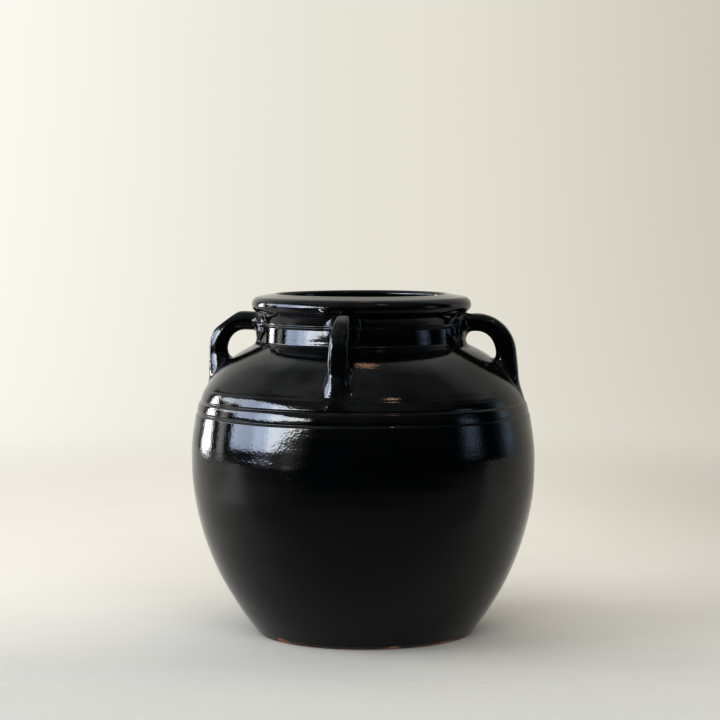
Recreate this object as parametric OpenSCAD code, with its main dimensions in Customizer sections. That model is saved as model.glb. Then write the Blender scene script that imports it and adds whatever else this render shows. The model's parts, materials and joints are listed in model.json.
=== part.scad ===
// Round-bodied clay jar with a rolled rim, a stepped neck, three incised
// shoulder lines and four loop handles.
// It is built from a floor slab, thrown rings and coils that are luted together.
// The origin is at the middle of the foot, +Z is up and one handle faces -Y.

/* [Body] */
// Height of the whole jar
jar_h = 265; // [262:1:275]
// Radius at the widest point
belly_r = 133.9; // [130:0.1:138]
// Height of the widest point
belly_z = 137.5; // [134:0.5:140]
// Radius of the foot that the jar stands on
foot_r = 83; // [78:0.5:90]
// Rounding of the edge between the foot and the wall
foot_edge_r = 2; // [1:0.5:4]
// Thickness of the body's wall
wall_t = 10; // [8:0.5:12]
// Thickness of the floor slab
floor_t = 11; // [8:0.5:14]
// Height that the joint between belly and shoulder drops towards the inside
seam_drop = 4; // [0:0.5:8]

/* [Shoulder] */
// Radius of the profile's arc just above the widest point
shoulder_arc_r = 145; // [140:1:150]
// Angle that this arc covers before the tighter arc over the shoulder starts
shoulder_arc_a = 13; // [11:0.5:15]
// Number of incised lines
line_count = 3; // [1:1:4]
// Height of the uppermost line
line_top_z = 191.5; // [186:0.5:192]
// Height from one line to the next
line_pitch = 9.2; // [6:0.1:10]
// Width of a line at the surface
line_w = 3.4; // [2:0.2:4]
// Depth of a line
line_depth = 1.3; // [0.5:0.1:1.6]

/* [Neck] */
// Radius of the neck outside, just above its foot
neck_r = 77.6; // [76.5:0.1:79]
// How much the neck's radius shrinks from its foot to the ridge
neck_taper = 1.1; // [0:0.1:1.5]
// Radius at the neck's foot, where it meets the shoulder
neck_foot_r = 81; // [80:0.5:83]
// Height of the neck's foot
neck_z = 226; // [224:0.5:227]
// Height of the small ridge round the neck
ridge_z = 241; // [239:0.5:242]
// Radius of the ridge's section
ridge_r = 1.5; // [0.8:0.1:2]
// Depth of the hollow under the rim
undercut = 0.6; // [0.3:0.1:2]

/* [Rim] */
// Radius of the rim outside
rim_r = 85.7; // [84:0.1:88]
// Radius of the mouth
mouth_r = 65; // [62:0.5:67]
// Height of the rim's underside
rim_z = 250; // [249:0.5:251]
// Radius of the rolled outer edge
roll_r = 6.5; // [5:0.5:6.5]
// Radius of the inner lip
lip_r = 3; // [2:0.5:4]

/* [Handles] */
// Distance from the jar's axis to the outside of a handle
handle_reach = 119.8; // [118:0.1:124]
// Thickness of the coil, outwards
handle_t = 13; // [12:0.5:14]
// Width of the coil
handle_w = 15; // [13:0.5:18]
// Rounding of the coil's edges
handle_edge_r = 4; // [2:0.5:5]
// Height of a handle's top
handle_top_z = 249.4; // [247:0.1:249.5]
// Radius of the bend along the middle of the coil
bend_r = 20; // [15:0.5:21]
// Outward lean of a handle
handle_lean = 2; // [0:0.5:4]

/* [Hidden] */
$fn = 96;

glaze = "#17191c";
terracotta = "#9c5a3e";
facets = 14; // straight steps in each long arc of an outline
small_facets = 6; // straight steps in each small rounding

// Lower wall: one arc through the widest point and the foot's edge.
low_rise = belly_z;
low_run = belly_r - foot_r;
low_arc_r = (low_rise * low_rise + low_run * low_run) / (2 * low_run);
low_c = [belly_r - low_arc_r, belly_z];

// Upper wall: an arc from the widest point, then a tighter arc to the neck's foot.
high_c = [belly_r - shoulder_arc_r, belly_z];
turn = [cos(shoulder_arc_a), sin(shoulder_arc_a)];
turn_p = high_c + shoulder_arc_r * turn;
to_neck = [neck_foot_r, neck_z] - turn_p;
top_arc_r = -(to_neck * to_neck) / (2 * (to_neck * turn));
top_c = turn_p - top_arc_r * turn;
top_end_a = atan2(neck_z - top_c[1], neck_foot_r - top_c[0]);

// Rim section: the roll and the lip are joined by the line that touches both.
roll_c = [rim_r - roll_r, rim_z + roll_r];
lip_c = [mouth_r + lip_r, jar_h - lip_r];
crown = roll_c - lip_c;
crown_a = atan2(crown[1], crown[0]) + acos((lip_r - roll_r) / norm(crown));

// The coil's middle line bends about this point.
bend_c = [handle_reach - handle_t / 2 - bend_r, handle_top_z - handle_t / 2 - bend_r];
leg_l = bend_c[1] - line_top_z + line_pitch;
arm_l = bend_c[0] - mouth_r;

// Points along an arc about c, from angle a0 to angle a1.
function arc(c, r, a0, a1, n) =
    [for (i = [0:n]) c + r * [cos(a0 + (a1 - a0) * i / n), sin(a0 + (a1 - a0) * i / n)]];

// Angle on an arc about c with radius r where it reaches height z.
function angle_at(c, r, z) = asin((z - c[1]) / r);

// Point at height z, and depth d under the outside of the shoulder.
function shoulder_p(z, d) = z < turn_p[1]
    ? point_on(high_c, shoulder_arc_r, z, d)
    : point_on(top_c, top_arc_r, z, d);

function point_on(c, r, z, d) = let (a = angle_at(c, r, z)) c + (r - d) * [cos(a), sin(a)];

// Lower wall between two heights, at depth d below the outside.
function low_wall(z0, z1, d) =
    arc(low_c, low_arc_r - d, angle_at(low_c, low_arc_r - d, z0),
        angle_at(low_c, low_arc_r - d, z1), facets);

// Upper wall from the seam to the neck, at depth d below the outside.
function high_wall(end_a, d) = concat(
    arc(high_c, shoulder_arc_r - d, 0, shoulder_arc_a, small_facets),
    [for (i = [1:facets]) let (a = shoulder_arc_a + (end_a - shoulder_arc_a) * i / facets)
        top_c + (top_arc_r - d) * [cos(a), sin(a)]]
);

// Where the inside of the shoulder reaches the mouth's radius.
inner_end_a = acos((mouth_r - top_c[0]) / (top_arc_r - wall_t));
inner_end = top_c + (top_arc_r - wall_t) * [cos(inner_end_a), sin(inner_end_a)];
seam_inner = [belly_r - wall_t, belly_z - seam_drop];

// Outside of the neck, from its foot to the rim's underside.
foot_fillet = neck_foot_r - neck_r;
neck_top_r = neck_r - neck_taper;
hollow_half = (rim_z - ridge_z - ridge_r) / 2;
hollow_r = (hollow_half * hollow_half + undercut * undercut) / (2 * undercut);
hollow_c = [neck_top_r - undercut + hollow_r, rim_z - hollow_half];
hollow_a = asin(hollow_half / hollow_r);
neck_outside = concat(
    arc([neck_foot_r, neck_z + foot_fillet], foot_fillet, 270, 180, small_facets),
    arc([neck_top_r, ridge_z], ridge_r, -90, 90, small_facets),
    arc(hollow_c, hollow_r, 180 + hollow_a, 180 - hollow_a, small_facets)
);

module base() {
    foot_c = [foot_r - foot_edge_r, foot_edge_r];
    color(terracotta) rotate_extrude() polygon(concat(
        [[0, 0]],
        arc(foot_c, foot_edge_r, 270, 345, small_facets),
        low_wall(2 * foot_edge_r, floor_t, 0),
        [[0, floor_t]]
    ));
}

module belly() {
    color(glaze) rotate_extrude() polygon(concat(
        low_wall(floor_t, belly_z, 0),
        low_wall(seam_inner[1], floor_t, wall_t)
    ));
}

module shoulder() {
    inside = high_wall(inner_end_a, wall_t);
    color(glaze) rotate_extrude() difference() {
        polygon(concat(
            [seam_inner],
            high_wall(top_end_a, 0),
            [for (i = [len(inside) - 1:-1:0]) inside[i]]
        ));
        for (i = [0:line_count - 1]) incised_line(line_top_z - i * line_pitch);
    }
}

// Section of one incised line at height z, cut square to the surface by a round tool.
module incised_line(z) {
    tool_r = (pow(line_w / 2, 2) + line_depth * line_depth) / (2 * line_depth);
    translate(shoulder_p(z, line_depth - tool_r)) circle(r = tool_r);
}

module neck() {
    color(glaze) rotate_extrude() polygon(concat(
        neck_outside,
        [[mouth_r, rim_z], inner_end]
    ));
}

module rim() {
    color(glaze) rotate_extrude() polygon(concat(
        [[mouth_r, rim_z]],
        arc(lip_c, lip_r, 180, crown_a, small_facets),
        arc(roll_c, roll_r, crown_a, -90, facets)
    ));
}

// The solid inside the outer surface of the shoulder and the neck.
module wall_envelope() {
    rotate_extrude() polygon(concat(
        [[0, belly_z]],
        high_wall(top_end_a, 0),
        neck_outside,
        [[0, rim_z]]
    ));
}

// Section of the coil: a rectangle with rounded edges.
module coil_section() {
    inner_t = handle_t - 2 * handle_edge_r;
    inner_w = handle_w - 2 * handle_edge_r;
    square([inner_t, handle_w], center = true);
    square([handle_t, inner_w], center = true);
    for (x = [-1, 1]) for (y = [-1, 1])
        translate([x * inner_t / 2, y * inner_w / 2]) circle(r = handle_edge_r, $fn = 32);
}

// The coil before its ends are cut to the wall, in the XZ plane: its upright leg,
// its bend and the arm that runs in to the neck.
module coil() {
    translate([bend_c[0], 0, bend_c[1]]) rotate([90, 0, 0]) rotate([0, 0, handle_lean]) {
        translate([bend_r, 0, 0]) rotate([90, 0, 0]) linear_extrude(leg_l) coil_section();
        rotate_extrude(angle = 90) translate([bend_r, 0]) coil_section();
        translate([0, bend_r, 0]) rotate([90, 0, -90]) linear_extrude(arm_l) coil_section();
    }
}

// One handle, turned about the jar's axis.
module handle(turn_a) {
    color(glaze) rotate([0, 0, turn_a]) difference() {
        coil();
        wall_envelope();
    }
}

module handle_front() {
    handle(-90);
}

module handle_right() {
    handle(0);
}

module handle_back() {
    handle(90);
}

module handle_left() {
    handle(180);
}

base();
belly();
shoulder();
neck();
rim();
handle_front();
handle_right();
handle_back();
handle_left();
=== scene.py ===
"""Black-glazed clay jar: the looks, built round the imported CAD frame.

The walls are dense rings that follow the CAD outline, with the relief that a
thrown and hand-joined jar has. The handles are coils pressed and smeared onto
the wall. Shape work is in millimetres, and becomes metres when a mesh is made.
"""

import json
import math

import bpy
import numpy as np
from mathutils import Matrix, Vector


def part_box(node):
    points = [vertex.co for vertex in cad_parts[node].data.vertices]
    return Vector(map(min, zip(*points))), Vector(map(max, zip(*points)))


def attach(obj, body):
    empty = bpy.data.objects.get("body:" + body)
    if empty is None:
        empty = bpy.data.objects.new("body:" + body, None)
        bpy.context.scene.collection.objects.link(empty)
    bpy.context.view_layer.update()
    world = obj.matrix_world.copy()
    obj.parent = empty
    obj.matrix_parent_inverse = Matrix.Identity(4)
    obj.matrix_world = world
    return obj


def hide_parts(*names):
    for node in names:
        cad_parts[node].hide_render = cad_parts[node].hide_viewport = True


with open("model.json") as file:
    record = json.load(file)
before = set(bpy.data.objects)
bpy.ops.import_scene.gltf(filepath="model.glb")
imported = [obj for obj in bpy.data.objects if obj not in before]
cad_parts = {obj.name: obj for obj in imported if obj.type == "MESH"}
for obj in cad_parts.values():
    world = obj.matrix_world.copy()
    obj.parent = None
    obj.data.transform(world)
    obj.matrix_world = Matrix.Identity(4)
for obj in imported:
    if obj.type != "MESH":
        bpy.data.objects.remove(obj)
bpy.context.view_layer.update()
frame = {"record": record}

MM = 0.001


def node_box(node):
    """A CAD node's lowest and highest corners, in millimetres."""
    low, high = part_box(node)
    return np.array(low) / MM, np.array(high) / MM


# ---------------------------------------------------------------- sizes, mm
BELLY_R = node_box("belly")[1][0]
BELLY_Z = node_box("belly")[1][2]
FLOOR_T = node_box("base")[1][2]
NECK_Z = node_box("shoulder")[1][2]
NECK_FOOT_R = node_box("neck")[1][0]
RIM_Z, RIM_R = node_box("rim")[0][2], node_box("rim")[1][0]
JAR_H = node_box("rim")[1][2]
HANDLE_REACH = node_box("handle_right")[1][0]
MOUTH_R = next(m["dims"]["r_mm"] for m in frame["record"]["mounts"] if m["name"] == "mouth")
FOOT_R = 83.0
FOOT_EDGE_R = 2.0
WALL_T = 10.0
SHOULDER_ARC_R = 145.0
SHOULDER_ARC_A = math.radians(13)
NECK_R, NECK_TAPER = 77.6, 1.1
NECK_TOP_R = NECK_R - NECK_TAPER
NECK_BEAD_Z = 229.2  # a faint bead low on the neck
RIDGE_Z, RIDGE_R = 241.0, 1.5
ROLL_ROOT = 2.6  # how far the neck curves out to meet the roll
LEAN = 0.0122  # how far the jar leans to the left of the camera, per unit of height
ROLL_R, LIP_R = 6.5, 3.0
SKIN = 0.22  # mean depth of the relief under the CAD surface
LOW_BULGE_Z = 103.0  # where the belly's lower half is fullest
TURNS = 384  # steps round the jar
VIEW_TURN = math.radians(-81.5)  # the side of the jar that faces the camera, as an angle from +X


# ---------------------------------------------------------------- helpers
def around(left_deg, distance, z=0.0):
    """A point at this angle to the left of the camera's side of the jar, in metres."""
    a = VIEW_TURN - math.radians(left_deg)
    return Vector((distance * math.cos(a), distance * math.sin(a), z))


def smoothstep(low, high, x):
    """0 below low, 1 above high and smooth between."""
    t = np.clip((np.asarray(x, float) - low) / (high - low), 0, 1)
    return t * t * (3 - 2 * t)


def bell(x, centre, half):
    """A smooth bump: 1 at the centre and 0 from half away."""
    t = np.clip(1 - ((np.asarray(x, float) - centre) / half) ** 2, 0, 1)
    return t * t


def turn_gap(theta, centre):
    """Signed angle from centre to theta, wrapped to within half a turn."""
    return (np.asarray(theta) - centre + np.pi) % (2 * np.pi) - np.pi


def waves(seed, count, turns, pitch, size):
    """Random smooth relief that closes on itself round the jar, as a sum of slanted waves.
    turns is the most waves round the jar, and pitch the shortest wave in height."""
    rng = np.random.default_rng(seed)
    around = rng.integers(-turns, turns + 1, count)
    along = rng.uniform(-1, 1, count) * 2 * np.pi / pitch
    phase = rng.uniform(0, 2 * np.pi, count)
    weight = size * rng.uniform(0.5, 1, count) / math.sqrt(count)

    def relief(theta, z):
        total = np.zeros(np.broadcast(theta, z).shape)
        for k, w, p, s in zip(around, along, phase, weight):
            total += s * np.sin(k * theta + w * z + p)
        return total

    return relief


# ---------------------------------------------------------------- the wall's outline
def arc(centre, radius, start, end, step):
    """Points along an arc, about step apart, without its last one."""
    count = max(2, round(abs(end - start) * radius / step))
    angles = np.linspace(start, end, count, endpoint=False)
    return np.column_stack([centre[0] + radius * np.cos(angles), centre[1] + radius * np.sin(angles)])


def line(start, end, step):
    """Points along a straight line, about step apart, without its last one."""
    start, end = np.array(start, float), np.array(end, float)
    count = max(1, round(np.linalg.norm(end - start) / step))
    return start + (end - start) * np.linspace(0, 1, count, endpoint=False)[:, None]


def angle_at(centre, radius, z):
    """Angle on an arc where it reaches height z."""
    return math.asin((z - centre[1]) / radius)


LOW_RUN = BELLY_R - FOOT_R
LOW_R = (BELLY_Z**2 + LOW_RUN**2) / (2 * LOW_RUN)
LOW_C = (BELLY_R - LOW_R, BELLY_Z)
HIGH_C = (BELLY_R - SHOULDER_ARC_R, BELLY_Z)
TURN = np.array([math.cos(SHOULDER_ARC_A), math.sin(SHOULDER_ARC_A)])
TURN_P = np.array(HIGH_C) + SHOULDER_ARC_R * TURN
TO_NECK = np.array([NECK_FOOT_R, NECK_Z]) - TURN_P
TOP_R = -(TO_NECK @ TO_NECK) / (2 * (TO_NECK @ TURN))
TOP_C = TURN_P - TOP_R * TURN
TOP_END = math.atan2(NECK_Z - TOP_C[1], NECK_FOOT_R - TOP_C[0])
LINE_TOP_Z, LINE_PITCH = 191.5, 9.2
LINES = [  # step in the wall at each incised line, height of the step's slope above it, depth of the cut
    (0.10, 6.0, 0.10),
    (1.30, 7.6, 0.34),
    (0.95, 7.0, 0.34),
]
LINE_LEDGE, LINE_WIDTH = 2.1, 0.62
LINE_FIRM = math.radians(45)  # the lines are firmest this far left of the view, and faint round the back


def outline():
    """The wall's section as points (r, z) from the middle of the underside, over the rim, to the
    middle of the inside floor, and the number of the first point of each stretch."""
    runs, marks = [], {}

    def add(name, points):
        marks[name] = sum(len(r) for r in runs)
        runs.append(points)

    foot_c = (FOOT_R - FOOT_EDGE_R, FOOT_EDGE_R)
    add("underside", line((0, 0), (foot_c[0], 0), 3.0))
    add("foot_edge", arc(foot_c, FOOT_EDGE_R, -np.pi / 2, math.radians(-15), 0.3))
    low_start = angle_at(LOW_C, LOW_R, 1.2 * FOOT_EDGE_R)
    low_floor = angle_at(LOW_C, LOW_R, FLOOR_T)
    add("foot_wall", arc(LOW_C, LOW_R, low_start, low_floor, 0.4))
    add("belly", arc(LOW_C, LOW_R, low_floor, 0, 1.35))
    add("shoulder", arc(HIGH_C, SHOULDER_ARC_R, 0, SHOULDER_ARC_A, 0.8))
    lines_end = angle_at(TOP_C, TOP_R, LINE_TOP_Z + 8)
    add("lines", arc(TOP_C, TOP_R, SHOULDER_ARC_A, lines_end, 0.32))
    add("over_shoulder", arc(TOP_C, TOP_R, lines_end, TOP_END, 0.9))
    fillet = NECK_FOOT_R - NECK_R
    add("neck", arc((NECK_FOOT_R, NECK_Z + fillet), fillet, -np.pi / 2, -np.pi, 0.4))
    rise = np.linspace(0, 1, 16, endpoint=False)
    band = (NECK_R - NECK_TAPER * rise**1.5, NECK_Z + fillet + (RIDGE_Z - RIDGE_R - NECK_Z - fillet) * rise)
    add("band", np.column_stack(band))
    rise = np.linspace(0, 1, 12, endpoint=False)
    ridge = (NECK_TOP_R + 0.55 * RIDGE_R * np.sin(np.pi * rise) ** 1.5, RIDGE_Z + RIDGE_R * (2 * rise - 1))
    add("ridge", np.column_stack(ridge))
    rise = np.linspace(0, 1, 16, endpoint=False)
    hollow_r = NECK_TOP_R + ROLL_ROOT * (0.3 * rise + 0.7 * rise**4)
    hollow_z = RIDGE_Z + RIDGE_R + (RIM_Z - RIDGE_Z - RIDGE_R) * rise
    add("hollow", np.column_stack((hollow_r, hollow_z)))
    roll_c = np.array([RIM_R - ROLL_R, RIM_Z + ROLL_R])
    lip_c = np.array([MOUTH_R + LIP_R, JAR_H - LIP_R])
    crown = roll_c - lip_c
    crown_a = math.atan2(crown[1], crown[0]) + math.acos((LIP_R - ROLL_R) / np.linalg.norm(crown))
    facing = np.array([math.cos(crown_a), math.sin(crown_a)])
    add("rim", line((NECK_TOP_R + ROLL_ROOT, RIM_Z), (roll_c[0], RIM_Z), 0.1))
    add("roll", arc(roll_c, ROLL_R, -np.pi / 2, crown_a, 0.5))
    add("crown", line(roll_c + ROLL_R * facing, lip_c + LIP_R * facing, 0.6))
    add("lip", arc(lip_c, LIP_R, crown_a, np.pi, 0.4))
    add("bore_rim", line((MOUTH_R, lip_c[1]), (MOUTH_R, RIM_Z), 1.2))
    inner_end = math.acos((MOUTH_R - TOP_C[0]) / (TOP_R - WALL_T))
    inner_z = TOP_C[1] + (TOP_R - WALL_T) * math.sin(inner_end)
    add("bore_neck", line((MOUTH_R, RIM_Z), (MOUTH_R, inner_z), 1.5))
    add("in_shoulder", arc(TOP_C, TOP_R - WALL_T, inner_end, SHOULDER_ARC_A, 2.5))
    add("in_seam", arc(HIGH_C, SHOULDER_ARC_R - WALL_T, SHOULDER_ARC_A, 0, 2.5))
    in_floor = angle_at(LOW_C, LOW_R - WALL_T, FLOOR_T)
    add("in_belly", arc(LOW_C, LOW_R - WALL_T, 0, in_floor, 3.0))
    wall_foot = (LOW_C[0] + (LOW_R - WALL_T) * math.cos(in_floor), FLOOR_T)
    add("in_floor", line(wall_foot, (0, FLOOR_T), 3.0))
    add("end", np.array([[0.0, FLOOR_T]]))
    return np.vstack(runs), marks


# ---------------------------------------------------------------- relief of the clay, mm
throwing = waves(11, 14, 2, 9.0, 0.045)
swell = waves(12, 12, 3, 60.0, 0.22)
pats = waves(13, 26, 16, 26.0, 0.10)
rim_waver = waves(41, 8, 4, 400.0, 0.35)
line_waver = [waves(20 + i, 6, 5, 400.0, 0.35) for i in range(len(LINES))]
line_force = [waves(30 + i, 8, 9, 400.0, 0.30) for i in range(len(LINES))]
scratch = waves(35, 10, 3, 2.2, 0.035)
glaze_waver = waves(51, 16, 40, 400.0, 0.9)
BARE_PATCHES = [  # angle right of the view, half width, extra height of bare clay
    (math.radians(-48), math.radians(9), 2.6),
    (math.radians(16), math.radians(5), 2.4),
    (math.radians(50), math.radians(22), 1.6),
    (math.radians(150), math.radians(16), 2.0),
    (math.radians(-130), math.radians(12), 1.8),
]
LUMP = (VIEW_TURN - math.radians(19), math.radians(4.6), 252.6, 4.0, 1.7)  # a dab of clay under the roll


def line_cuts(theta, z):
    """Depth of the incised lines. The clay rolls inwards down to each line, and the line's lower
    side is a ledge that runs back out to the band below."""
    depth = np.zeros(np.broadcast(theta, z).shape)
    for i, (step, reach, cut) in enumerate(LINES):
        up = z - (LINE_TOP_Z - i * LINE_PITCH + line_waver[i](theta, 0.0))
        firm = 0.35 + 0.65 * bell(turn_gap(theta, VIEW_TURN - LINE_FIRM), 0, 1.5 * LINE_FIRM)
        force = firm * (1 + 0.6 * line_force[i](theta, 0.0))
        slope = np.clip(1 - up / reach, 0, 1) ** 1.4
        ledge = smoothstep(-LINE_LEDGE, 0.15, up)
        depth += step * force * slope * ledge + cut * force * np.exp(-((up / LINE_WIDTH) ** 2) / 2)
    return depth


def glaze_edge(theta):
    """Height at which the glaze ends above the foot."""
    edge = 0.9 + 0.5 * glaze_waver(theta, 0.0)
    for centre, half, extra in BARE_PATCHES:
        edge = edge + extra * bell(turn_gap(theta, VIEW_TURN + centre), 0, half)
    return np.maximum(edge, 0.15)


def hold_in(off):
    """Keeps relief under the CAD surface, with a soft limit."""
    return -0.09 * np.logaddexp(0, -(off + 0.03) / 0.09)


def outer_relief(theta, z):
    """How far the outside of the jar stands off the CAD surface. It is a little fuller than CAD at
    the lines and low on the belly, where the throwing rings lie."""
    calm = smoothstep(2, 14, z)
    soft = (throwing(theta, z) + swell(theta, z) + pats(theta, z)) * calm
    marks = scratch(theta, z) * bell(z, LINE_TOP_Z - LINE_PITCH, 15)
    fuller = 0.9 * bell(z, LINE_TOP_Z - 0.8 * LINE_PITCH, 24) + 0.45 * bell(z, LOW_BULGE_Z, 34)
    body = hold_in(soft + marks - SKIN) + fuller - line_cuts(theta, z)
    above = z - glaze_edge(theta)
    glaze = 0.3 * smoothstep(-0.4, 0.5, above) + 0.14 * bell(above, 0.9, 0.9)
    body = body + (glaze - 0.3) * smoothstep(12, 8, z)
    collar = hold_in(0.8 * throwing(theta, z) + 0.3 * rim_waver(theta, 0.0) - SKIN)
    collar = collar + 0.16 * bell(z, NECK_BEAD_Z, 1.7)
    lump = LUMP[4] * bell(turn_gap(theta, LUMP[0]), 0, LUMP[1]) * bell(z, LUMP[2], LUMP[3])
    up = smoothstep(NECK_Z - 2, NECK_Z + 3, z)
    return body * (1 - up) + (collar + lump) * up


def lean(points, normals):
    """Shears the clay towards the left of the camera above the belly, and to its right below."""
    right = np.array(around(-90, 1.0))
    leant = points - LEAN * (points[..., 2:] - BELLY_Z) * right
    tilted = normals.copy()
    tilted[..., 2] += LEAN * (normals @ right)
    return leant, tilted / np.linalg.norm(tilted, axis=-1, keepdims=True)


def wall_grid():
    """Positions and normals of the whole wall as (ring, turn, xyz), and the ring marks."""
    rings, marks = outline()
    tangent = np.gradient(rings, axis=0)
    tangent /= np.linalg.norm(tangent, axis=1)[:, None]
    outward = np.column_stack([tangent[:, 1], -tangent[:, 0]])
    theta = np.linspace(0, 2 * np.pi, TURNS, endpoint=False)[None, :]
    r, z = rings[:, :1], rings[:, 1:]
    number = np.arange(len(rings))[:, None]
    inside = -0.2 + 4 * throwing(theta, z) + 0.8 * swell(theta, z)
    floor = -0.4 + 0.35 * np.sin(r * 0.55 + theta) * smoothstep(4, 20, r)
    under = np.minimum(0.12 * np.sin(r * 1.3 + 2 * theta) - 0.25, 0) * smoothstep(3, 10, FOOT_R - r)
    off = np.where(number < marks["foot_edge"], under, outer_relief(theta, z))
    to_inside = np.clip((number - marks["bore_rim"]) / 6, 0, 1)
    off = off * (1 - to_inside) + inside * to_inside
    off = np.where(number >= marks["in_floor"], floor, off)
    points = np.stack(
        [
            (r + off * outward[:, :1]) * np.cos(theta),
            (r + off * outward[:, :1]) * np.sin(theta),
            z + off * outward[:, 1:],
        ],
        axis=2,
    )
    points[..., 2] = np.maximum(points[..., 2], 0)
    along = np.gradient(points, axis=0)
    around = np.roll(points, -1, axis=1) - np.roll(points, 1, axis=1)
    normals = np.cross(around, along)
    normals /= np.maximum(np.linalg.norm(normals, axis=2, keepdims=True), 1e-9)
    normals[0], normals[-1] = (0, 0, -1), (0, 0, 1)
    return *lean(points, normals), marks


# ---------------------------------------------------------------- meshes
def make_object(name, vertices, faces, corner_normals, material):
    """An object from arrays in millimetres, with a normal for each corner of each face."""
    mesh = bpy.data.meshes.new(name)
    mesh.from_pydata((np.asarray(vertices) * MM).tolist(), [], faces)
    mesh.polygons.foreach_set("use_smooth", [True] * len(mesh.polygons))
    mesh.normals_split_custom_set(np.asarray(corner_normals).tolist())
    mesh.materials.append(material)
    piece = bpy.data.objects.new(name, mesh)
    bpy.context.scene.collection.objects.link(piece)
    return piece


def ring_piece(name, grid, spans, material):
    """A closed piece of the wall from spans of rings, each (first, last). Where one span ends and
    the next begins, a flat joint face closes the clay."""
    points, normals, _ = grid
    rings = [i for first, last in spans for i in range(first, last + 1)]
    breaks = set(np.cumsum([last - first + 1 for first, last in spans]) - 1)
    poles = [n for n, i in enumerate(rings) if i in (0, len(points) - 1)]
    vertices, index, vertex_normals = [], [], []
    for n, i in enumerate(rings):
        count = 1 if n in poles else TURNS
        index.append(np.full(TURNS, len(vertices)) if n in poles else len(vertices) + np.arange(TURNS))
        vertices.extend(points[i][:count])
        vertex_normals.extend(normals[i][:count])
    vertices, vertex_normals = np.array(vertices), np.array(vertex_normals)
    faces, corner_normals = [], []
    for n in range(len(rings)):
        m = (n + 1) % len(rings)
        if n in poles and m in poles:
            continue
        low, high = index[n], index[m]
        ring_faces = np.column_stack([low, np.roll(low, -1), np.roll(high, -1), high])
        if n in poles:
            ring_faces = ring_faces[:, [0, 2, 3]]
        elif m in poles:
            ring_faces = ring_faces[:, [0, 1, 2]]
        faces.extend(ring_faces.tolist())
        if n in breaks:
            a, b, c = (vertices[ring_faces[:, k]] for k in range(3))
            flat = np.cross(b - a, c - b)
            flat /= np.linalg.norm(flat, axis=1)[:, None]
            corner_normals.append(np.repeat(flat, ring_faces.shape[1], axis=0))
        else:
            corner_normals.append(vertex_normals[ring_faces.reshape(-1)])
    return make_object(name, vertices, faces, np.vstack(corner_normals), material)


# ---------------------------------------------------------------- distance fields for the handles
TABLE_STEP = 0.3
TABLE_R, TABLE_Z = (62.0, 132.0), (160.0, 266.0)


def wall_table():
    """Signed distance from the CAD outline, and the height of the nearest point on it, on a grid
    of (r, z). The roll is left out, so that a handle's clay doesn't run up onto it."""
    rings, marks = outline()
    path = np.vstack([rings[marks["belly"] : marks["hollow"]], [[NECK_TOP_R, 290.0]]])
    a, b = path[:-1], path[1:]
    step = b - a
    length2 = (step**2).sum(1)
    rs = np.arange(TABLE_R[0], TABLE_R[1], TABLE_STEP)
    zs = np.arange(TABLE_Z[0], TABLE_Z[1], TABLE_STEP)
    distance, foot = np.empty((len(rs), len(zs))), np.empty((len(rs), len(zs)))
    rows = np.arange(len(zs))
    for i, r in enumerate(rs):
        p = np.column_stack([np.full(len(zs), r), zs])[:, None, :]
        t = np.clip(((p - a) * step).sum(2) / length2, 0, 1)
        q = a + t[..., None] * step
        gap = np.linalg.norm(p - q, axis=2)
        best = gap.argmin(1)
        distance[i], foot[i] = gap[rows, best], q[rows, best, 1]
        crosses = (a[:, 1] <= zs[:, None]) != (b[:, 1] <= zs[:, None])
        along = (zs[:, None] - a[:, 1]) / np.where(step[:, 1] == 0, 1e-9, step[:, 1])
        beyond = crosses & (a[:, 0] + along * step[:, 0] > r)
        distance[i] *= np.where(beyond.sum(1) % 2 == 1, -1, 1)
    return distance, foot


WALL_DISTANCE, WALL_FOOT = wall_table()
RELIEF = outer_relief(
    np.linspace(0, 2 * np.pi, TURNS + 1)[:, None], np.arange(TABLE_Z[0], TABLE_Z[1], TABLE_STEP)[None, :]
)


def look_up(table, x, z):
    """Bilinear look-up in a table, x steps along it and at height z."""
    x = np.clip(x, 0, table.shape[0] - 1.001)
    y = np.clip((z - TABLE_Z[0]) / TABLE_STEP, 0, table.shape[1] - 1.001)
    i, j = x.astype(int), y.astype(int)
    u, v = x - i, y - j
    low = table[i, j] * (1 - v) + table[i, j + 1] * v
    high = table[i + 1, j] * (1 - v) + table[i + 1, j + 1] * v
    return low * (1 - u) + high * u


def wall_field(turn, u, w, z):
    """Distance from the wall's own relief. u runs outwards and w sideways at the handle's turn."""
    across = (np.hypot(u, w) - TABLE_R[0]) / TABLE_STEP
    turns = (turn + np.arctan2(w, u)) / (2 * np.pi) % 1 * TURNS
    foot = look_up(WALL_FOOT, across, z)
    return look_up(WALL_DISTANCE, across, z) - look_up(RELIEF, turns, foot)


def smooth_min(a, b, k):
    """The lesser of two distances, with a fillet about k wide where they are alike."""
    h = np.maximum(k - np.abs(a - b), 0) / k
    return np.minimum(a, b) - h * h * k / 4


def smooth_max(a, b, k):
    """The greater of two distances, with a rounded edge about k wide."""
    return -smooth_min(-a, -b, k)


def blob(u, w, z, centre, radii):
    """Rough distance from an ellipsoid."""
    q = [(p - c) / s for p, c, s in zip((u, w, z), centre, radii)]
    k0 = np.sqrt(q[0] ** 2 + q[1] ** 2 + q[2] ** 2)
    k1 = np.sqrt(sum((p / s) ** 2 for p, s in zip(q, radii)))
    return k0 * (k0 - 1) / np.maximum(k1, 1e-9)


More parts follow.
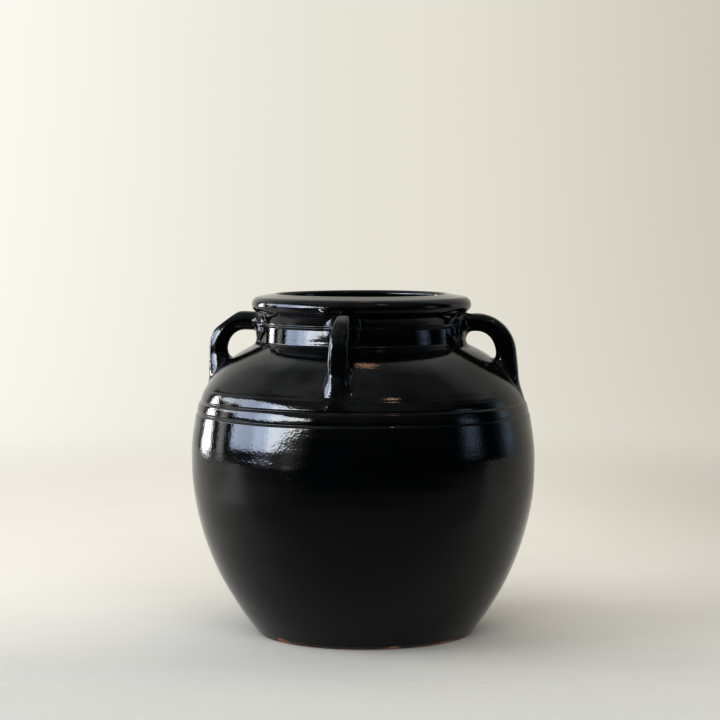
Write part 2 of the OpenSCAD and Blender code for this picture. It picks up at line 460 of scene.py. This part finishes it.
def coil_field(h, u, w, z):
    """Distance from a handle's bent coil, before it is joined to the wall."""
    lean = math.radians(h["lean"])
    bend, t_arm, t_leg = h["bend"], h["t_arm"], h["t_leg"]
    du, dz = u - (h["reach"] - t_leg / 2 - bend), z - (h["top"] - t_arm / 2 - bend)
    x = du * math.cos(lean) + dz * math.sin(lean)
    y = dz * math.cos(lean) - du * math.sin(lean)
    angle = np.arctan2(np.maximum(x, 0), np.maximum(y, 0))
    on_arm = (x <= 0) & (y > x)
    on_leg = (y <= 0) & ~on_arm
    s = np.where(on_arm, np.minimum(x, 0), bend * angle)
    s = np.where(on_leg, bend * np.pi / 2 - y, s)
    n = np.where(on_arm, y, np.where(on_leg, x, np.hypot(x, y))) - bend
    t = smoothstep(-10, bend * np.pi / 2 + 30, s)
    wobble = [h["wobble"] * np.sin(s / h["wave"] * 2 * np.pi + p) for p in h["phases"]]
    half_t = (t_arm * (1 - t) + t_leg * t) / 2 + 0.5 * wobble[0]
    half_w = (h["w_arm"] * (1 - t) + h["w_leg"] * t) / 2 + 0.5 * wobble[1]
    side = w - h["side"] - h["drift"] * t - wobble[2]
    edge = h["edge"]
    dome = 0.017 * side**2  # the coil's faces are a little domed
    qn = np.abs(n - wobble[3]) + dome - half_t + edge
    qw = np.abs(side) - half_w + edge
    field = np.hypot(np.maximum(qn, 0), np.maximum(qw, 0)) + np.minimum(np.maximum(qn, qw), 0) - edge
    for at, depth, width in h["flats"]:
        a = math.radians(at)
        plane = x * math.cos(a) + y * math.sin(a) - (bend + max(t_arm, t_leg) / 2 - depth)
        field = smooth_max(field, np.where((x > -8) & (y > -8), plane, -50.0), width)
    return field


def handle_fields(h, u, w, z):
    """Distance from a handle's clay joined to the wall, from the wall, and from the clay's reach."""
    wall = wall_field(h["turn"], u, w, z)
    clay = coil_field(h, u, w, z)
    for centre, radii in h["pads"]:
        clay = smooth_min(clay, blob(u, w, z, centre, radii), 6.0)
    up = smoothstep(218, 236, z)
    k = h["k_foot"] * (1 - up) + h["k_neck"] * up
    return smooth_min(wall, clay, k), wall, clay - k


INSET = 1.3  # how deep the handle's clay goes under the wall's surface


def solid_field(h, u, w, z):
    """The handle as a closed piece: the joined clay, without what lies well inside the wall."""
    joined, wall, reach = handle_fields(h, u, w, z)
    return np.maximum(np.maximum(joined, -(wall + INSET)), reach + 0.9)


def gradient(field, p, step=0.06):
    """Central differences of a field at points p."""
    out = np.empty_like(p)
    for axis in range(3):
        d = np.zeros(3)
        d[axis] = step
        out[:, axis] = (field(*(p + d).T) - field(*(p - d).T)) / (2 * step)
    return out


def cells_round(where, axes, da, db):
    """The cells beside grid edges, da and db back along the two axes across them."""
    cell = where.copy()
    cell[:, axes[0]] -= da
    cell[:, axes[1]] -= db
    return cell


def surface_nets(field, low, high, step):
    """Vertices and quads of a field's zero surface. Each cell that the surface crosses has one
    vertex, and each crossed edge of the grid makes a quad of the four cells round it."""
    ticks = [np.arange(a, b, step) for a, b in zip(low, high)]
    grid = np.meshgrid(*ticks, indexing="ij")
    value = field(*[g.ravel() for g in grid]).reshape(grid[0].shape)
    shape = tuple(n - 1 for n in value.shape)
    total, hits, edges = np.zeros((*shape, 3)), np.zeros(shape), []
    for axis in range(3):
        near = tuple(slice(0, value.shape[k] - (k == axis)) for k in range(3))
        far = tuple(slice(int(k == axis), value.shape[k]) for k in range(3))
        a, b = value[near], value[far]
        cross = (a < 0) != (b < 0)
        where = np.argwhere(cross)
        across = ((axis + 1) % 3, (axis + 2) % 3)
        edges.append((where, a[cross] < 0, across))
        point = where.astype(float)
        point[:, axis] += a[cross] / (a[cross] - b[cross])
        for da in (0, 1):
            for db in (0, 1):
                cell = tuple(cells_round(where, across, da, db).T)
                np.add.at(total, cell, point)
                np.add.at(hits, cell, 1)
    used = hits > 0
    number = np.full(shape, -1)
    number[used] = np.arange(used.sum())
    vertices = np.array(low) + step * total[used] / hits[used][:, None]
    quads = []
    for where, rising, across in edges:
        corners = ((1, 1), (0, 1), (0, 0), (1, 0))
        quad = [number[tuple(cells_round(where, across, da, db).T)] for da, db in corners]
        quad = np.column_stack(quad)
        quad[~rising] = quad[~rising][:, ::-1]
        quads.append(quad)
    return vertices, np.vstack(quads)


def handle_piece(h, step, material):
    """One handle's mesh, with normals from its field."""
    half_w = h["w_leg"] / 2 + h["k_neck"] + h["spread"]

    def field(u, w, z):
        return solid_field(h, u, w, z)

    def joined(u, w, z):
        return handle_fields(h, u, w, z)[0]

    in_wall = math.sqrt((NECK_TOP_R - 2 * INSET) ** 2 - half_w**2)
    low = (in_wall, -half_w, LINE_TOP_Z - 27)
    high = (h["reach"] + h["k_foot"] + 4, half_w, RIM_Z + 12.5)
    p, quads = surface_nets(field, low, high, step)
    for _ in range(3):  # moves the vertices onto the surface
        slope = gradient(field, p)
        size2 = np.maximum((slope**2).sum(1), 0.2)
        p = p - np.clip(field(*p.T) / size2, -step / 2, step / 2)[:, None] * slope
    seen_part = joined(*p.T) > -0.2
    normals = np.where(seen_part[:, None], gradient(joined, p), gradient(field, p))
    normals /= np.maximum(np.linalg.norm(normals, axis=1, keepdims=True), 1e-9)
    c, s = math.cos(h["turn"]), math.sin(h["turn"])
    spin = np.array([[c, s, 0], [-s, c, 0], [0, 0, 1]])
    p, normals = lean(p @ spin, normals @ spin)
    return make_object(h["name"], p, quads.tolist(), normals[quads.reshape(-1)], material)


# A handle's sizes at its arm (the upper end, on the neck) and leg (the lower end), the radii of its
# edges and bend, its waviness, its flats (angle round the bend, depth, softness), its pads of smeared
# clay (centre and radii, across and up), and the width of the fillets at its two ends.
PLAIN_HANDLE = {
    "reach": HANDLE_REACH - 1.6, "top": 249.5, "bend": 24.0, "t_arm": 13.8, "t_leg": 14.0,
    "w_arm": 14.0, "w_leg": 15.0, "edge": 4.2, "lean": 2.0, "side": 0.0, "drift": 0.0, "wobble": 0.2,
    "wave": 37.0, "phases": (0.0, 1.3, 2.9, 4.1), "flats": [], "pads": [], "spread": 7.0,
    "k_neck": 10.0, "k_foot": 6.0,
}
HANDLES = [
    {
        "name": "coil_front", "node": "handle_front", "turn": math.radians(-90), "top": 252.8,
        "bend": 19.5, "w_arm": 12.6, "w_leg": 15.4, "side": 1.2, "drift": -2.2, "edge": 3.6,
        "phases": (0.4, 2.2, 5.0, 3.3), "lean": 3.0,
        "pads": [((80.0, -2.0, 240.0), (6.0, 8.0, 9.0)), ((117.5, -2.2, 194.5), (4.2, 5.6, 10.0))],
    },
    {
        "name": "coil_right", "node": "handle_right", "turn": 0.0, "reach": HANDLE_REACH + 0.3,
        "top": 250.0, "t_arm": 13.5, "t_leg": 16.6, "phases": (2.4, 0.2, 1.0, 5.3), "lean": 3.0,
        "spread": 18.0,
        "pads": [((77.0, -5.0, 236.0), (4.6, 14.0, 12.0)), ((111.0, 2.0, 206.0), (6.0, 8.0, 12.0))],
    },
    {
        "name": "coil_back", "node": "handle_back", "turn": math.radians(90), "bend": 22.0,
        "t_arm": 13.4, "drift": 1.2, "phases": (5.1, 3.2, 0.7, 2.0), "flats": [(58, 1.0, 1.6)],
        "pads": [((80.0, 2.0, 238.0), (6.0, 9.0, 8.0)), ((112.0, -2.0, 205.0), (6.0, 8.0, 12.0))],
    },
    {
        "name": "coil_left", "node": "handle_left", "turn": math.radians(180),
        "reach": HANDLE_REACH + 0.4, "top": 250.3, "bend": 22.5, "lean": 0.0, "t_arm": 14.4,
        "t_leg": 14.4, "spread": 24.0, "phases": (1.1, 4.2, 3.0, 0.2), "flats": [(54, 2.2, 1.0)],
        "edge": 6.4,
        "pads": [((77.0, 5.0, 236.0), (4.6, 15.0, 12.0)), ((111.0, 1.0, 205.0), (7.0, 8.0, 12.0))],
    },
]


# ---------------------------------------------------------------- materials
class Nodes:
    """A short way to write a material's nodes."""

    def __init__(self, name):
        self.material = bpy.data.materials.new(name)
        self.material.use_nodes = True
        self.tree = self.material.node_tree
        self.tree.nodes.clear()
        self.place = self.add("ShaderNodeTexCoord").outputs["Object"]

    def add(self, kind, **settings):
        """A node. Settings name its properties, or its inputs with spaces written as _."""
        node = self.tree.nodes.new(kind)
        for key, value in settings.items():
            if key.islower() and hasattr(node, key):
                setattr(node, key, value)
            else:
                self.feed(node.inputs[key.replace("_", " ")], value)
        return node

    def feed(self, socket, value):
        """Links an output to a socket, or sets the socket's value."""
        if isinstance(value, bpy.types.NodeSocket):
            self.tree.links.new(value, socket)
        elif isinstance(value, tuple) and socket.type == "RGBA":
            socket.default_value = (*value, 1)
        else:
            socket.default_value = value

    def noise(self, size, detail=2.0, rough=0.5):
        """Noise from 0 to 1 with features of about this size, in millimetres."""
        node = self.add(
            "ShaderNodeTexNoise", Vector=self.place, Scale=1 / (size * MM), Detail=detail, Roughness=rough
        )
        return node.outputs[0]

    def specks(self, spacing, radius):
        """Round specks, 1 at their middles, one in each cell of about this spacing, in millimetres."""
        cell = self.add("ShaderNodeTexVoronoi", Vector=self.place, Scale=1 / (spacing * MM))
        return self.ramp(cell.outputs["Distance"], radius / spacing, 0.4 * radius / spacing)

    def ramp(self, value, start, end, low=0.0, high=1.0):
        """Value mapped smoothly so that start gives low and end gives high."""
        node = self.add("ShaderNodeMapRange", interpolation_type="SMOOTHSTEP")
        for i, v in enumerate((value, start, end, low, high)):
            self.feed(node.inputs[i], v)
        return node.outputs[0]

    def math(self, operation, a, b=0.0):
        node = self.add("ShaderNodeMath", operation=operation)
        self.feed(node.inputs[0], a)
        self.feed(node.inputs[1], b)
        return node.outputs[0]

    def mix(self, factor, a, b):
        """Colour a where the factor is 0 and b where it is 1."""
        node = self.add("ShaderNodeMix", data_type="RGBA")
        for i, v in ((0, factor), (6, a), (7, b)):
            self.feed(node.inputs[i], v)
        return node.outputs[2]

    def attribute(self, name):
        return self.add("ShaderNodeAttribute", attribute_name=name).outputs["Fac"]

    def finish(self, shader):
        self.add("ShaderNodeOutputMaterial", Surface=shader)
        return self.material


def glaze_nodes(n):
    """(colour, roughness, height) of a thick, glossy black glaze."""
    pool = n.noise(46, 3.0)
    mottle = n.noise(7, 3.0, 0.6)
    colour = n.mix(pool, (0.0005, 0.0013, 0.0021), (0.0013, 0.0016, 0.0018))
    colour = n.mix(n.ramp(mottle, 0.52, 0.80, 0.0, 0.5), colour, (0.0036, 0.0034, 0.0034))
    pins = n.specks(13.0, 0.42)
    colour = n.mix(n.math("MULTIPLY", pins, 0.35), colour, (0.060, 0.030, 0.018))
    haze = n.noise(19, 4.0, 0.65)
    rough = n.ramp(haze, 0.35, 0.75, 0.075, 0.13)
    rough = n.math("ADD", rough, n.math("MULTIPLY", pins, 0.25))
    peel = n.math("MULTIPLY", n.noise(1.9, 1.0, 0.4), 4.2)
    ripple = n.math("MULTIPLY", n.noise(11.0, 1.0, 0.4), 2.4)
    fine = n.math("MULTIPLY", n.noise(1.3, 1.0, 0.4), 1.8)
    height = n.math("ADD", n.math("ADD", peel, ripple), fine)
    height = n.math("SUBTRACT", height, n.math("MULTIPLY", pins, 1.6))
    return colour, rough, height


def clay_nodes(n):
    """(colour, roughness, height) of bare fired terracotta with grog."""
    tone = n.noise(14, 4.0, 0.6)
    colour = n.mix(tone, (0.40, 0.18, 0.105), (0.58, 0.32, 0.215))
    grain = n.noise(0.9, 4.0, 0.7)
    colour = n.mix(n.ramp(grain, 0.42, 0.66), colour, (0.52, 0.30, 0.20))
    grog = n.specks(3.2, 0.6)
    colour = n.mix(n.math("MULTIPLY", grog, 0.5), colour, (0.17, 0.075, 0.050))
    rough = n.ramp(grain, 0.2, 0.8, 0.78, 0.95)
    height = n.math("ADD", n.math("MULTIPLY", grain, 3.0), n.math("MULTIPLY", grog, 2.0))
    return colour, rough, height


def principled(n, colour, rough, height, bump_mm):
    bump = n.add("ShaderNodeBump", Height=height, Distance=bump_mm * MM, Strength=1.0)
    shader = n.add("ShaderNodeBsdfPrincipled", Base_Color=colour, Roughness=rough, Normal=bump.outputs[0])
    shader.inputs["IOR"].default_value = 1.52
    return n.finish(shader.outputs[0])


def black_glaze():
    n = Nodes("black_glaze")
    return principled(n, *glaze_nodes(n), 0.016)


def glazed_foot():
    """Glaze down to its edge, then bare clay: the attribute is the height above the edge, in mm."""
    n = Nodes("glazed_foot")
    above = n.math("ADD", n.attribute("above_edge"), n.ramp(n.noise(1.6, 3.0, 0.6), 0.3, 0.7, -0.5, 0.5))
    glazed = n.ramp(above, -0.12, 0.18)
    black, black_rough, black_height = glaze_nodes(n)
    clay, clay_rough, clay_height = clay_nodes(n)
    burnt = n.ramp(above, -1.5, -0.1)
    clay = n.mix(n.math("MULTIPLY", burnt, 0.55), clay, (0.11, 0.045, 0.028))
    colour = n.mix(glazed, clay, black)
    parts = []
    for bare, coat in ((clay_rough, black_rough), (clay_height, black_height)):
        kept = n.math("MULTIPLY", bare, n.math("SUBTRACT", 1.0, glazed))
        parts.append(n.math("ADD", kept, n.math("MULTIPLY", coat, glazed)))
    return principled(n, colour, parts[0], parts[1], 0.016)


# ---------------------------------------------------------------- stage, lights and camera
GAMMA = 0.76  # the view's tone curve: under 1 deepens the darks as a phone camera does


def seen(r, g, b):
    """Scene colour that shows as this 8-bit colour through the view's tone curve."""
    out = []
    for v in (r, g, b):
        v = (v / 255) ** GAMMA
        out.append(v / 12.92 if v <= 0.04045 else ((v + 0.055) / 1.055) ** 2.4)
    return tuple(out)


SWEEP_R, COVE_R, SWEEP_H = 2.6, 0.9, 5.0
TABLE_FADE = [  # distance behind the jar's axis in metres, and how strongly the floor there shows in glaze
    (-0.90, 0.0), (-0.60, 0.10), (-0.36, 0.23), (-0.21, 0.34), (-0.15, 0.55), (-0.08, 0.95), (0.0, 1.0),
]


def paper_material():
    """The pale paper of the floor and backdrop, with a painted gradient of window light that makes it
    brighter at the window side. Near the jar it is lit by the lamps, and far from it it shines by
    itself, so that its tone is even. Out of view on the left, a painted pool of window light makes
    it as bright as under a window. Its albedo carries painted shade, darker in front of the jar and
    towards the back right."""
    n = Nodes("paper")
    spun = n.add("ShaderNodeMapping", vector_type="POINT", Vector=n.place)
    spun.inputs["Rotation"].default_value = (0, 0, -(VIEW_TURN + math.pi / 2))
    split = n.add("ShaderNodeSeparateXYZ", Vector=spun.outputs[0])
    across, behind = split.outputs[0], split.outputs[1]
    # painted window light: the glowing tone is brightest on the window side and darker to the right
    tone = n.mix(n.ramp(across, -0.85, 0.05), seen(254, 251, 243), seen(230, 226, 214))
    tone = n.mix(n.ramp(across, 0.0, 0.85), tone, seen(202, 197, 184))
    distance = n.add("ShaderNodeVectorMath", operation="LENGTH")
    n.feed(distance.inputs[0], n.place)
    # painted light: a pool of window light on the paper out of view on the left, made to glow as well
    painted_window_pool = n.math("MULTIPLY", n.ramp(across, -0.33, -0.58), n.ramp(behind, 0.35, 0.0))
    tone = n.mix(painted_window_pool, tone, (1.5, 1.5, 1.44))
    far = n.math("MAXIMUM", n.ramp(distance.outputs["Value"], 0.75, 1.7), painted_window_pool)
    glow = n.add("ShaderNodeEmission", Color=tone, Strength=1.0)
    # painted shade: the paper's albedo is lower in front of the jar than behind it, standing in for shade
    # on the near floor
    paper_colour_and_shade = n.mix(n.ramp(behind, -0.40, 0.42), (0.495, 0.497, 0.495), (0.650, 0.640, 0.620))
    # painted shade: a darker albedo towards the right and back, where the floor is less lit
    painted_back_right_shade = n.math("MULTIPLY", n.ramp(across, 0.05, 0.50), n.ramp(behind, -0.1, 0.3))
    paper_colour_and_shade = n.mix(n.math("MULTIPLY", painted_back_right_shade, 0.42), paper_colour_and_shade, (0.29, 0.28, 0.26))
    paper_colour_and_shade = n.mix(n.ramp(n.noise(90, 4.0, 0.6), 0.35, 0.75, 0.0, 0.05), paper_colour_and_shade, (0.45, 0.43, 0.40))
    matt = n.add("ShaderNodeBsdfDiffuse", Color=paper_colour_and_shade)
    both = n.add("ShaderNodeMixShader")
    for i, v in enumerate((far, matt.outputs[0], glow.outputs[0])):
        n.feed(both.inputs[i], v)
    n.material.cycles.emission_sampling = "NONE"
    fading = n.add("ShaderNodeMixShader")
    clear = n.add("ShaderNodeBsdfTransparent")
    for i, v in enumerate((n.attribute("solid"), clear.outputs[0], both.outputs[0])):
        n.feed(fading.inputs[i], v)
    return n.finish(fading.outputs[0])


def flat_object(name, rows, material, solid=1.0):
    """A staged sheet from rows of points, each row as long as the next. solid is how opaque it is
    at its points, if its material fades."""
    mesh = bpy.data.meshes.new(name)
    count = len(rows[0])
    faces = [
        (i * count + j, i * count + j + 1, (i + 1) * count + j + 1, (i + 1) * count + j)
        for i in range(len(rows) - 1)
        for j in range(count - 1)
    ]
    mesh.from_pydata([tuple(p) for row in rows for p in row], [], faces)
    mesh.materials.append(material)
    mesh.polygons.foreach_set("use_smooth", [True] * len(mesh.polygons))
    layer = mesh.attributes.new("solid", "FLOAT", "POINT")
    values = np.broadcast_to(solid, (len(rows), count)).reshape(-1)
    layer.data.foreach_set("value", values.astype(np.float32))
    thing = bpy.data.objects.new(name, mesh)
    bpy.context.scene.collection.objects.link(thing)
    return thing


def build_stage():
    """A paper floor and backdrop. One set of sheets shows in the glaze, with soft edges, and the
    surround under and beside them does not, so that the glaze mirrors a dim room there."""
    paper = paper_material()
    right, front = around(-90, 1.0), around(0, 1.0)
    depths = np.concatenate([np.arange(-1.0, 0.3, 0.05), np.linspace(0.3, SWEEP_R - 0.7 * COVE_R, 14)])
    table = [[right * x - front * y for x in np.linspace(-SWEEP_R, SWEEP_R, 27)] for y in depths]
    fade = np.interp(depths, *zip(*TABLE_FADE))[:, None]
    sheets = [flat_object("table_top", table, paper, fade)]
    floor = [(d, 0.0) for d in np.linspace(0.05, SWEEP_R - COVE_R, 16, endpoint=False)]
    cove = [
        (SWEEP_R - COVE_R + COVE_R * math.sin(a), COVE_R - COVE_R * math.cos(a))
        for a in np.linspace(0, math.pi / 2, 14)
    ]
    wall = cove + [(SWEEP_R, z) for z in np.linspace(COVE_R, SWEEP_H, 16)[1:]]
    turns = np.linspace(135, 258, 63)  # left of the camera, in degrees
    back = [[around(a, d, z) for a in turns] for d, z in wall]
    high = np.array([[z] for d, z in wall])
    fade = smoothstep(136, 143, turns) * smoothstep(258, 228, turns) * smoothstep(4.0, 1.6, high)
    sheets.append(flat_object("backdrop", back, paper, fade))
    rest = [[around(a, d, z - 0.0005) for a in np.linspace(-180, 180, 91)] for d, z in floor]
    rest += [[around(a, d + 0.004, z - 0.0005) for a in np.linspace(-180, 180, 91)] for d, z in wall]
    surround = flat_object("surround", rest, paper)
    surround.visible_glossy = False
    for sheet in (*sheets, surround):
        sheet.visible_shadow = False


def window_light(left, up):
    """Colour and strength of the window wall at an angle left of the camera and an elevation."""
    white, cool, blue = np.ones(3), np.array([0.92, 0.98, 1.07]), np.array([0.78, 0.89, 1.10])
    sill = 1.1 + 0.42 * np.maximum(66 - left, 0)
    top = np.interp(left, (36, 45, 60, 75, 89, 105, 120, 134), (15, 17, 22, 26, 27.5, 23, 18, 14))

    def pane(start, end, low, high, soft=1.5):
        span = smoothstep(start - soft, start + soft, left) * smoothstep(end + soft, end - soft, left)
        return span * smoothstep(low - 1.5, low + 1.5, up) * smoothstep(high + 2, high - 2, up)

    light = np.zeros((*np.broadcast(left, up).shape, 3))
    for start, end, low, high, strength, tint in (  # each pane's ends, sill, head, light and tint
        (36, 50, sill, top, 18.0, white),
        (50, 57, sill, top, 16.0, cool),
        (57, 67, sill, top, 17.0, cool),
        (67, 78, sill, top, 12.5, blue),
        (78, 98, sill, top, 9.0, blue),
        (98, 120, 10.0, top, 7.0, cool),
        (106, 114, -6.0, 12.0, 2.8, white),
    ):
        light += strength * pane(start, end, low, high)[..., None] * tint
    streak = 12.0 * pane(121 + 0.25 * (up + 7), 136 - 0.28 * (up + 7), -9.0, top, 3.0)
    smudge = bell(left, 51, 8) * bell(up, -3.5, 3.5) + 0.45 * bell(left, 66, 16) * bell(up, -2.0, 3.0)
    haze = 0.4 * bell(left, 50, 16) * bell(up, 4, 9)
    ceiling = (0.36 + 0.5 * smoothstep(85, 115, left)) * smoothstep(top + 1, top + 6, up)
    return light + (streak + 2.4 * (smudge + haze) + ceiling)[..., None] * white


def side_light(left, up):
    """Dim windows and a doorway on the right."""
    pale = np.array([0.62, 0.85, 1.1])
    light = 2.0 * bell(left, -77, 11) * bell(up, 10, 13) + 1.25 * bell(left, -115, 11) * bell(up, 9, 15)
    light = light + 0.5 * smoothstep(-96, -118, left) * smoothstep(-14, -7, up)
    return light[..., None] * pale


def light_wall(name, lefts, ups, distance, paint):
    """A glowing sheet round the jar, seen in the glaze only, whose light is paint(left, up)."""
    rows = [[around(a, distance, 0.19 + distance * math.tan(math.radians(e))) for a in lefts] for e in ups]
    n = Nodes(name)
    tint = n.add("ShaderNodeVertexColor", layer_name="light")
    glow = n.add("ShaderNodeEmission", Color=tint.outputs[0], Strength=1.0)
    n.material.cycles.emission_sampling = "NONE"
    wall = flat_object(name, rows, n.finish(glow.outputs[0]))
    left, up = np.meshgrid(lefts, ups)
    colours = np.concatenate([paint(left, up), np.ones((*left.shape, 1))], axis=2)
    layer = wall.data.attributes.new("light", "FLOAT_COLOR", "POINT")
    layer.data.foreach_set("color", colours.reshape(-1))
    for ray in ("camera", "diffuse", "transmission", "shadow", "volume_scatter"):
        setattr(wall, "visible_" + ray, False)
    return wall


def area_light(name, left, up, distance, size, power, colour, in_glaze):
    """A rectangular lamp that faces the jar. size is its width and height, in metres. It lights
    matt surfaces, or is only seen in the glaze."""
    lamp = bpy.data.lights.new(name, "AREA")
    lamp.shape = "RECTANGLE"
    lamp.size, lamp.size_y = size
    lamp.energy, lamp.color = power, colour
    thing = bpy.data.objects.new(name, lamp)
    bpy.context.scene.collection.objects.link(thing)
    e = math.radians(up)
    thing.location = around(left, distance * math.cos(e), 0.13 + distance * math.sin(e))
    thing.rotation_mode = "QUATERNION"
    thing.rotation_quaternion = (thing.location - Vector((0, 0, 0.13))).to_track_quat("Z", "Y")
    thing.visible_camera = False
    thing.visible_glossy, thing.visible_diffuse = in_glaze, not in_glaze
    return thing


def build_room_light():
    """The dim room: dark at eye level, with a patchy ceiling that is brighter on the window side
    and towards the lit backdrop."""
    world = bpy.data.worlds.new("room")
    bpy.context.scene.world = world
    world.use_nodes = True
    nodes, links = world.node_tree.nodes, world.node_tree.links
    nodes.clear()
    place = nodes.new("ShaderNodeTexCoord")
    split = nodes.new("ShaderNodeSeparateXYZ")
    links.new(place.outputs["Generated"], split.inputs[0])

    def ramp(axis, *values):
        node = nodes.new("ShaderNodeMapRange")
        node.interpolation_type = "SMOOTHSTEP"
        links.new(split.outputs[axis], node.inputs[0])
        for i, v in enumerate(values, start=1):
            node.inputs[i].default_value = v
        return node.outputs[0]

    def combine(operation, a, b):
        node = nodes.new("ShaderNodeMath")
        node.operation = operation
        links.new(a, node.inputs[0])
        links.new(b, node.inputs[1])
        return node.outputs[0]

    ceiling = combine("MULTIPLY", ramp("Z", 0.10, 0.85, 0.03, 1.0), ramp("X", -0.4, 0.5, 0.68, 0.28))
    rear = combine("MULTIPLY", ramp("Z", 0.15, 0.5, 0.0, 1.0), ramp("Y", 0.15, 0.5, 0.0, 0.75))
    cloud = nodes.new("ShaderNodeTexNoise")  # lamps, beams and stains on the ceiling
    cloud.inputs["Scale"].default_value, cloud.inputs["Detail"].default_value = 3.1, 1.5
    links.new(place.outputs["Generated"], cloud.inputs["Vector"])
    patchy = nodes.new("ShaderNodeMapRange")
    for i, v in enumerate((0.35, 0.68, 0.5, 1.35), start=1):
        patchy.inputs[i].default_value = v
    links.new(cloud.outputs[0], patchy.inputs[0])
    strength = combine("ADD", combine("MULTIPLY", ceiling, patchy.outputs[0]), rear)
    sky = nodes.new("ShaderNodeBackground")
    sky.inputs["Color"].default_value = (0.97, 0.99, 1.0, 1)
    links.new(strength, sky.inputs["Strength"])
    links.new(sky.outputs[0], nodes.new("ShaderNodeOutputWorld").inputs[0])


def build_lights():
    light_wall("window_wall", np.arange(28, 142, 0.5), np.arange(-16, 48, 0.5), 6.0, window_light)
    light_wall("far_windows", np.arange(-134, -60, 2.0), np.arange(-16, 30, 2.0), 6.0, side_light)
    area_light("window_fill", 80, 34, 3.2, (2.6, 1.6), 48, (0.98, 0.99, 1.0), False)
    area_light("front_fill", -6, 27, 3.2, (3.0, 1.2), 66, (0.97, 0.985, 1.0), False)
    area_light("room_fill", -120, 64, 3.0, (2.6, 2.6), 16, (1.0, 0.82, 0.58), False)
    area_light("lamp_front", -29, 55.5, 2.4, (0.24, 0.16), 1.4, (1.0, 0.66, 0.48), True)
    area_light("lamp_back", -172, 78, 2.4, (0.26, 0.24), 1.0, (1.0, 0.55, 0.32), True)
    build_room_light()


def build_camera():
    """A long lens a little above the jar, turned slightly towards its right side."""
    cam = bpy.data.cameras.new("camera")
    cam.lens, cam.sensor_width = 116.45, 36.0
    thing = bpy.data.objects.new("camera", cam)
    bpy.context.scene.collection.objects.link(thing)
    place = around(0, 1.8126, 0.3347)
    pitch, yaw = math.radians(3.848), math.radians(-0.080)
    look = around(180, math.cos(pitch), -math.sin(pitch))
    turn = look.to_track_quat("-Z", "Y").to_matrix().to_4x4()
    turn = Matrix.Rotation(-yaw, 4, "Z") @ turn
    thing.matrix_world = Matrix.Translation(place) @ turn
    bpy.context.scene.camera = thing
    view = bpy.context.scene.view_settings
    view.view_transform, view.look = "Standard", "None"
    view.exposure, view.gamma = 0.0, GAMMA


# ---------------------------------------------------------------- the jar
def mark_glaze_edge(base):
    """Gives the base's vertices their height above the edge of the glaze, for its material."""
    co = np.empty(len(base.data.vertices) * 3)
    base.data.vertices.foreach_get("co", co)
    x, y, z = (co / MM).reshape(-1, 3).T
    radius = np.hypot(x, y)
    above = z - glaze_edge(np.arctan2(y, x))
    above = np.where((z > FLOOR_T - 2) & (radius < FOOT_R - 2), 5.0, above)
    above = np.where((z < 0.9) & (radius < FOOT_R - FOOT_EDGE_R), -5.0, above)
    layer = base.data.attributes.new("above_edge", "FLOAT", "POINT")
    layer.data.foreach_set("value", above.astype(np.float32))


def build_jar():
    glaze, foot = black_glaze(), glazed_foot()
    grid = wall_grid()
    m = grid[2]
    spans = {
        "base": [(0, m["belly"]), (m["in_floor"], m["end"])],
        "belly": [(m["belly"], m["shoulder"]), (m["in_belly"], m["in_floor"])],
        "shoulder": [(m["shoulder"], m["neck"]), (m["in_shoulder"], m["in_belly"])],
        "neck": [(m["neck"], m["rim"]), (m["bore_neck"], m["in_shoulder"])],
        "rim": [(m["rim"], m["bore_neck"])],
    }
    for node, rings in spans.items():
        piece = ring_piece("clay_" + node, grid, rings, foot if node == "base" else glaze)
        if node == "base":
            mark_glaze_edge(piece)
        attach(piece, "root")
        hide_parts(node)
    for own in HANDLES:
        piece = handle_piece({**PLAIN_HANDLE, **own}, 0.6, glaze)
        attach(piece, "root")
        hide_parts(own["node"])


build_camera()
build_jar()
build_stage()
build_lights()
